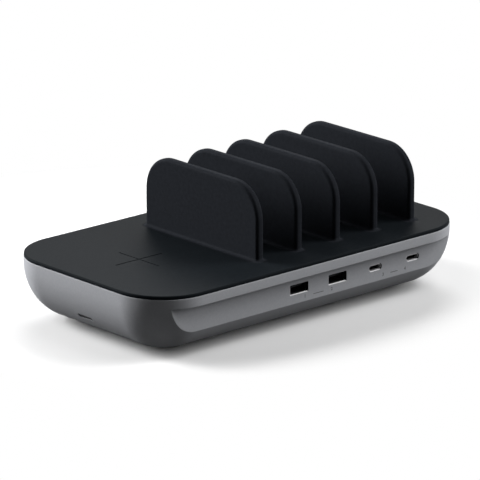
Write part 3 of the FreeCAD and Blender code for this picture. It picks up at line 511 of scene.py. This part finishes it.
epoxy = finish("moulded_epoxy", (0.012, 0.012, 0.012), (0.02, 0.02, 0.02), 0.6, 2500, 0.000008, specular=0.3)
leg_length = 0.0028
leg_width = 0.001
leg_depth = 0.0006
leg_rounding = 0.0001
leg_shares = (0.1, 0.37, 0.63, 0.9)
cut_corner = 0.0022
corner_reach = 0.001
body_rounding = 0.0003
switch_offset = 0.005
switch_rise = 0.004
switch_size = Vector((0.01, 0.0044, 0.0125))
switch_rounding = 0.0004
switch_leg_pitch = 0.00254
switch_leg_length = 0.006
switch_leg_share = 0.6
# The chips on the supply board: place from its middle in x and y, length, and pins on each side
supply_chips = ((-0.036, -0.028, 0.005, 4), (0.029, -0.024, 0.01, 8), (0.036, 0.009, 0.005, 4))
supply_chip_depth = 0.0038
supply_chip_height = 0.0014
supply_chip_gap = 0.0002
supply_pin = Vector((0.0004, 0.006, 0.0003))
# The chips on the coil board: place from its middle in x and y
coil_chips = ((-0.012, -0.01), (0.001, -0.01), (0.014, -0.01), (-0.012, 0.011), (0.014, 0.011))
coil_chip = Vector((0.005, 0.006, 0.0011))
coil_chip_gap = 0.0001
coil_pin = Vector((0.0005, 0.0066, 0.0003))
port_chip = Vector((0.005, 0.0013, 0.0038))
port_chip_gap = 0.0001
port_chip_rise = 0.002
port_pin = Vector((0.0004, 0.0003, 0.006))
small_chip_pins = 4
first_pin = -0.0019
pin_pitch = 0.00127
chip_rounding = 0.00015
pin_rounding = 0.00005


def stood(bm, x, y, z, size, rounding):
    """A rounded box of a given size that stands on z with its middle at x and y."""
    foot = Vector((x, y, z))
    reach = Vector((size.x / 2, size.y / 2, 0))
    block(bm, foot - reach, foot + reach + Vector((0, 0, size.z)), rounding)


low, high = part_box("bridge_rectifier")
bodies = bmesh.new()
legs = bmesh.new()
verts = bmesh.ops.create_cube(bodies, size=1)["verts"]
bmesh.ops.scale(bodies, verts=verts, vec=high - low - Vector((0, 0, leg_length)))
bmesh.ops.translate(bodies, verts=verts, vec=(low + high) / 2 + Vector((0, 0, leg_length / 2)))
marked = {vert for vert in verts if vert.co.x < low.x + corner_reach and vert.co.z > high.z - corner_reach}
ridge = [edge for edge in bodies.edges if marked.issuperset(edge.verts)]
bmesh.ops.bevel(bodies, geom=ridge, offset=cut_corner, segments=1, profile=0.5, affect="EDGES", material=-1)
bmesh.ops.bevel(
    bodies, geom=bodies.edges, offset=body_rounding, segments=2, profile=0.5, affect="EDGES", material=-1,
)
y = (low.y + high.y) / 2
for share in leg_shares:
    x = low.x + share * (high.x - low.x)
    stood(legs, x, y, low.z, Vector((leg_width, leg_depth, 2 * leg_length)), leg_rounding)
place_form("rectifier_body", bodies, epoxy, "package_black", "bridge_rectifier")
place_form("rectifier_legs", legs, tin, "screw_steel")
bodies = bmesh.new()
legs = bmesh.new()
board_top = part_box("power_board")[1].z
sink_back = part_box("heat_sink")[1].y
switch_x = middle_of("heat_sink").x + switch_offset
switch_y = sink_back + switch_size.y / 2
stood(bodies, switch_x, switch_y, board_top + switch_rise, switch_size, switch_rounding)
for number in (-1, 0, 1):
    x = switch_x + switch_leg_pitch * number
    y = sink_back + switch_leg_share * switch_size.y
    stood(legs, x, y, board_top, Vector((leg_width, leg_depth, switch_leg_length)), leg_rounding)
board = middle_of("power_board")
for right, back, length, pins in supply_chips:
    x = board.x + right
    y = board.y + back
    size = Vector((length, supply_chip_depth, supply_chip_height))
    stood(bodies, x, y, board_top + supply_chip_gap, size, chip_rounding)
    for number in range(pins):
        pin_x = x - length / 2 + length * (number + 0.5) / pins
        stood(legs, pin_x, y, board_top, supply_pin, pin_rounding)
coil_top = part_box("coil_board")[1].z
board = middle_of("coil_board")
for right, back in coil_chips:
    x = board.x + right
    y = board.y + back
    stood(bodies, x, y, coil_top + coil_chip_gap, coil_chip, chip_rounding)
    for number in range(small_chip_pins):
        stood(legs, x + first_pin + pin_pitch * number, y, coil_top, coil_pin, pin_rounding)
port_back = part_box("port_board")[1].y
for name in sockets:
    place = middle_of(name) + Vector((0, 0, port_chip_rise))
    y = port_back + port_chip_gap + port_chip.y / 2
    stood(bodies, place.x, y, place.z - port_chip.z / 2, port_chip, chip_rounding)
    y = port_back + port_pin.y / 2
    for number in range(small_chip_pins):
        pin_x = place.x + first_pin + pin_pitch * number
        stood(legs, pin_x, y, place.z - port_pin.z / 2, port_pin, pin_rounding)
place_form("board_chips", bodies, epoxy, "package_black")
place_form("chip_legs", legs, tin, "screw_steel")

# Heat sink, screws and leads: an aluminium extrusion, zinc-plated steel screws and stranded wire.
# The screws hold the boards, the coil carrier and the top cover; the leads join the boards.

extrusion = finish("sink_aluminium", (0.5, 0.5, 0.51), (0.6, 0.6, 0.61), 0.38, 1200, 0.000004, metallic=1.0)
dress(extrusion, "heat_sink")
zinc = finish("zinc_plating", (0.4, 0.4, 0.42), (0.5, 0.5, 0.51), 0.32, 3000, 0.000003, metallic=1.0)
dress(zinc, "case_screws", "power_board_screws", "coil_board_screws", "coil_screws")
insulation = finish("lead_insulation", (0.014, 0.014, 0.014), (0.024, 0.024, 0.024), 0.55, 2500, 0.000006)
dress(insulation, "mains_leads", "output_leads", "pad_leads", "coil_leads", "status_leads")

# Front sockets: folded shells with a dark nickel finish, dark tongues and gold-flashed contacts.
# They stand on the upright port board; the small shells have a collar that comes forward into the cut-out.
# The lower edge of each cut-out has a chamfer, coloured near-white as a painted highlight.

shell_metal = finish(
    "socket_shell", (0.045, 0.045, 0.048), (0.06, 0.06, 0.063), 0.4, 2500, 0.000002, metallic=1.0,
)
tongue = finish(
    "socket_tongue", (0.007, 0.007, 0.008), (0.01, 0.01, 0.011), 0.45, 3000, 0.000004, specular=0.05,
)
gold = finish("contact_gold", (0.5, 0.34, 0.12), (0.62, 0.43, 0.16), 0.28, 4000, 0.000001, metallic=1.0)
for kind in ("usb_a", "usb_c"):
    for number in (1, 2):
        dress(shell_metal, "%s_shell_%d" % (kind, number))
        dress(tongue, "%s_insulator_%d" % (kind, number))
        dress(gold, "%s_contacts_%d" % (kind, number))
# Near-white chamfer colour along each cut-out's lower edge: a painted highlight.
lip_highlight = finish("painted_lip_highlight", (0.74, 0.74, 0.75), (0.84, 0.84, 0.85), 0.4, 3000, 0.000002, specular=0.1)
collar_metal = finish(
    "collar_nickel", (0.34, 0.34, 0.35), (0.42, 0.42, 0.43), 0.4, 2500, 0.000002, metallic=0.6,
)
collar_wall = 0.0003
collar_setback = 0.0005
collar_steps = 10
lip_seat = 0.00002
lip_steps = 6
# The cut-out's half size and corner, then the chamfer's rise, its depth and its turn up the corners
lips = (
    ("usb_a", Vector((0.0065, 0, 0.0028)), 0.0004, 0.0004, 0.0006, math.radians(45)),
    ("usb_c", Vector((0.0047, 0, 0.00185)), 0.00185, 0.0003, 0.00045, math.radians(32)),
)


def chamfer(bm, middle, half, corner, rise, depth, turn):
    """A wedge along the lower edge of a mouth, which runs a little way up its round corners."""
    flat = half.x - corner
    foot = middle - Vector((flat, 0, half.z))
    spots = [foot + Vector((0, y, z)) for y, z in ((0, -lip_seat), (depth, -lip_seat), (depth, rise))]
    verts = [bm.verts.new(spot) for spot in spots]
    first = [bm.edges.new(pair) for pair in zip(verts, verts[1:] + verts[:1])]
    made = bmesh.ops.extrude_edge_only(bm, edges=first)["geom"]
    far = [item for item in made if isinstance(item, bmesh.types.BMVert)]
    bmesh.ops.translate(bm, verts=far, vec=(2 * flat, 0, 0))
    last = [item for item in made if isinstance(item, bmesh.types.BMEdge)]
    hub = foot + Vector((0, 0, corner))
    bmesh.ops.spin(bm, geom=first, cent=hub, axis=(0, 1, 0), angle=turn, steps=lip_steps)
    hub.x += 2 * flat
    bmesh.ops.spin(bm, geom=last, cent=hub, axis=(0, -1, 0), angle=turn, steps=lip_steps)
    bmesh.ops.holes_fill(bm, edges=bm.edges)


bm = bmesh.new()
for kind, half, corner, rise, depth, turn in lips:
    for number in (1, 2):
        mouth = middle_of("%s_shell_%d" % (kind, number))
        mouth.y = panel_y
        chamfer(bm, mouth, half, corner, rise, depth, turn)
place_form("socket_lips", bm, lip_highlight, "socket_nickel")
bm = bmesh.new()
for number in (1, 2):
    low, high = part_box("usb_c_shell_%d" % number)
    middle = (low + high) / 2
    middle.y = (panel_y + collar_setback + low.y) / 2
    half = (high - low) / 2
    section = bmesh.ops.create_grid(bm, x_segments=1, y_segments=1, size=0.5)["verts"]
    faces = list({face for vert in section for face in vert.link_faces})
    bmesh.ops.delete(bm, geom=faces, context="FACES_ONLY")
    bmesh.ops.scale(bm, verts=section, vec=(collar_wall, low.y - panel_y - collar_setback, 1))
    bmesh.ops.translate(bm, verts=section, vec=(-collar_wall / 2, 0, 0))
    hoop(bm, section, middle, half, half.z, collar_steps)
place_form("socket_collars", bm, collar_metal, "socket_nickel")

# Mains inlet: a two-pole socket moulded in black nylon, snapped into the pocket at the back.
# Its two pins are turned steel rods with a nickel plating.

nylon = finish(
    "black_nylon", (0.009, 0.009, 0.01), (0.014, 0.014, 0.015), 0.42, 3000, 0.000006, specular=0.15,
)
plating = finish("pin_plating", (0.36, 0.35, 0.33), (0.44, 0.43, 0.41), 0.34, 2000, 0.000002, metallic=1.0)
dress(nylon, "mains_inlet")
dress(plating, "inlet_pins")

# Charging coil: a flat spiral of enamelled wire on a ferrite sheet in a moulded carrier.
# The carrier is screwed up under the top cover by its two ears.

dress(enamel, "charging_coil")
dress(phenolic, "coil_carrier")

# Status light: an acrylic bar in the left end, unlit, with its lamp on a small board.
# The bar's face lies a little below the paint, and the bar is coloured near-black as painted shade in its
# slot.

# Near-black bar colour: painted shade in the slot.
status_bar_shade = finish(
    "status_bar_painted_shade", (0.03, 0.03, 0.032), (0.045, 0.045, 0.048), 0.5, 1800, 0.00001, specular=0.3,
)
dress(status_bar_shade, "status_light_pipe")
resin = finish("lamp_resin", (0.6, 0.58, 0.42), (0.72, 0.7, 0.52), 0.25, 1500, 0.000002)
lens_depth = Vector((0.0003, 0, 0))
lens_border = Vector((0, 0.0004, 0.0003))
lamp_rounding = 0.0001
lens_rounding = 0.00012
low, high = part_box("status_led")
bm = bmesh.new()
block(bm, low + lens_depth, high, lamp_rounding)
block(bm, low + lens_border, high - lens_border, lens_rounding)
place_form("status_lamp", bm, resin, "led_white", "status_led")

# Top cover and dividers: moulded plastic under a soft-touch coat of near-black rubber paint.
# The coat is matt with a fine even grain, and takes a sheen only at a low angle.

blade_dark = (0.0133, 0.0147, 0.0178)
blade_light = (0.0162, 0.018, 0.0217)
blade_coat = finish("soft_touch", blade_dark, blade_light, 0.5, 4200, 0.000007, specular=0.0025)
dress(blade_coat, "divider_1", "divider_2", "divider_3", "divider_4", "divider_5")
plate_dark = (0.0056, 0.0071, 0.0086)
plate_light = (0.0072, 0.0089, 0.0106)
plate_coat = finish("soft_plate", plate_dark, plate_light, 0.5, 4200, 0.000007, specular=0.0096)
dress(plate_coat, "top_cover")

# Studio: a pale floor that runs on without an edge, six softboxes round the object, and the camera.
# Away from the object the floor turns plain white; near it, it keeps the shadow.

floor_seen = (0.78, 0.78, 0.78)
floor_bounce = (0.12, 0.12, 0.12)
shadow_middle = (0.007, 0.075, 0)
shadow_reach = 0.162
white_reach = 0.2
floor_half = 20.0
room_seen = (1.0, 1.0, 1.0)
room_glow = (0.008, 0.008, 0.008)


def seen_ray(tree):
    """1 for rays from the camera and for those that gloss or clear plastic sends on, 0 for the rest."""
    path = tree.nodes.new("ShaderNodeLightPath")
    seen = larger_of(tree, path.outputs["Is Camera Ray"], path.outputs["Is Glossy Ray"])
    return larger_of(tree, seen, path.outputs["Is Transmission Ray"])


stage = bpy.data.materials.new("studio_floor")
stage.use_nodes = True
tree = stage.node_tree
shader = tree.nodes["Principled BSDF"]
shader.inputs["Roughness"].default_value = 1.0
shader.inputs["Specular IOR Level"].default_value = 0.0
seen = seen_ray(tree)
tree.links.new(blended(tree, seen, floor_bounce, floor_seen), shader.inputs["Base Color"])
coords = tree.nodes.new("ShaderNodeTexCoord")
distance = tree.nodes.new("ShaderNodeVectorMath")
distance.operation = "DISTANCE"
distance.inputs[1].default_value = shadow_middle
tree.links.new(coords.outputs["Object"], distance.inputs[0])
fade = tree.nodes.new("ShaderNodeMapRange")
fade.interpolation_type = "SMOOTHSTEP"
fade.inputs["From Min"].default_value = shadow_reach
fade.inputs["From Max"].default_value = white_reach
tree.links.new(distance.outputs["Value"], fade.inputs["Value"])
white = tree.nodes.new("ShaderNodeEmission")
white.inputs["Strength"].default_value = 1.0
merge = tree.nodes.new("ShaderNodeMixShader")
tree.links.new(product_of(tree, fade.outputs["Result"], seen), merge.inputs["Fac"])
tree.links.new(shader.outputs["BSDF"], merge.inputs[1])
tree.links.new(white.outputs["Emission"], merge.inputs[2])
tree.links.new(merge.outputs["Shader"], tree.nodes["Material Output"].inputs["Surface"])
bm = bmesh.new()
bmesh.ops.create_grid(bm, x_segments=1, y_segments=1, size=floor_half)
mesh = bpy.data.meshes.new("studio_floor")
bm.to_mesh(mesh)
bm.free()
mesh.materials.append(stage)
floor = bpy.data.objects.new("studio_floor", mesh)
bpy.context.scene.collection.objects.link(floor)

world = bpy.data.worlds.new("studio")
world.use_nodes = True
tree = world.node_tree
backdrop = tree.nodes["Background"]
tree.links.new(blended(tree, seen_ray(tree), room_glow, room_seen), backdrop.inputs["Color"])
bpy.context.scene.world = world

# Each softbox: its turn from +X and its rise in degrees, its width and height, and its power in watts
softboxes = {
    "softbox_left": (117, 19.5, 0.8, 1.0, 80),
    "softbox_left_high": (124, 42, 0.8, 0.8, 14),
    "softbox_right": (330, 17, 0.8, 0.8, 29),
    "softbox_right_high": (326, 44, 0.8, 0.8, 20),
    "softbox_back": (46, 36, 1.0, 1.0, 19),
    "softbox_over": (300, 66, 0.9, 0.9, 7),
}
lamp_distance = 2.0
for name, (turn, rise, width, height, power) in softboxes.items():
    lamp = bpy.data.lights.new(name, "AREA")
    lamp.shape = "RECTANGLE"
    lamp.size = width
    lamp.size_y = height
    lamp.energy = power
    turn = math.radians(turn)
    rise = math.radians(rise)
    way = Vector((math.cos(turn) * math.cos(rise), math.sin(turn) * math.cos(rise), math.sin(rise)))
    box = bpy.data.objects.new(name, lamp)
    box.location = way * lamp_distance
    box.rotation_euler = way.to_track_quat("Z", "Y").to_euler()
    bpy.context.scene.collection.objects.link(box)

sensor_width = 36.0
lens_length = 330.9
lens_shift = (0.00173, -0.00538)
camera_aim = Vector((0, 0, 0.0348))
camera_distance = 2.36235
yaw = 0.730957
pitch = 0.297187
camera_data = bpy.data.cameras.new("camera")
camera_data.sensor_width = sensor_width
camera_data.lens = lens_length
camera_data.shift_x = lens_shift[0]
camera_data.shift_y = lens_shift[1]
camera = bpy.data.objects.new("camera", camera_data)
bpy.context.scene.collection.objects.link(camera)
ahead = Vector((math.sin(yaw) * math.cos(pitch), math.cos(yaw) * math.cos(pitch), -math.sin(pitch)))
camera.location = camera_aim - ahead * camera_distance
camera.rotation_euler = (math.pi / 2 - pitch, 0, -yaw)
bpy.context.scene.camera = camera
bpy.context.scene.view_settings.view_transform = "Standard"
